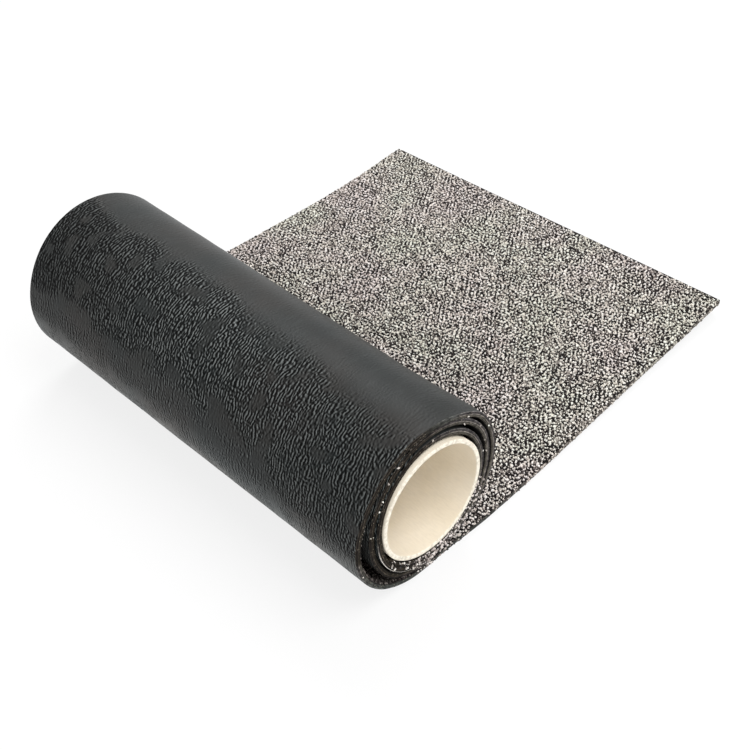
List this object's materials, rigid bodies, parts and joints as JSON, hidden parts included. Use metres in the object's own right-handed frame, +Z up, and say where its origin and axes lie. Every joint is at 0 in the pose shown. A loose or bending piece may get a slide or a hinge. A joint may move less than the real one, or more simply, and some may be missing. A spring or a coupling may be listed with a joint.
{
  "type": "roll of roofing felt",
  "caption": "Narrow roll of mineral roofing felt wound loosely on a paper core, with its outer end laid out flat, granules up.",
  "frame": {"origin": "under the middle of the whole part, on the floor that the roll and its laid-out end lie on", "axes": "+X along the core's axis, +Y from the roll towards the cut end of the laid-out stretch, +Z up"},
  "size_m": [0.338, 0.3714, 0.1154],
  "materials": {
    "felt": "matt bitumen felt, dark film outside and pale mineral granules on the upper face",
    "core": "plain wound paper tube"
  },
  "bodies": {
    "root": {"felt_strip": "felt", "core_tube": "core"}
  },
  "joints": []
}
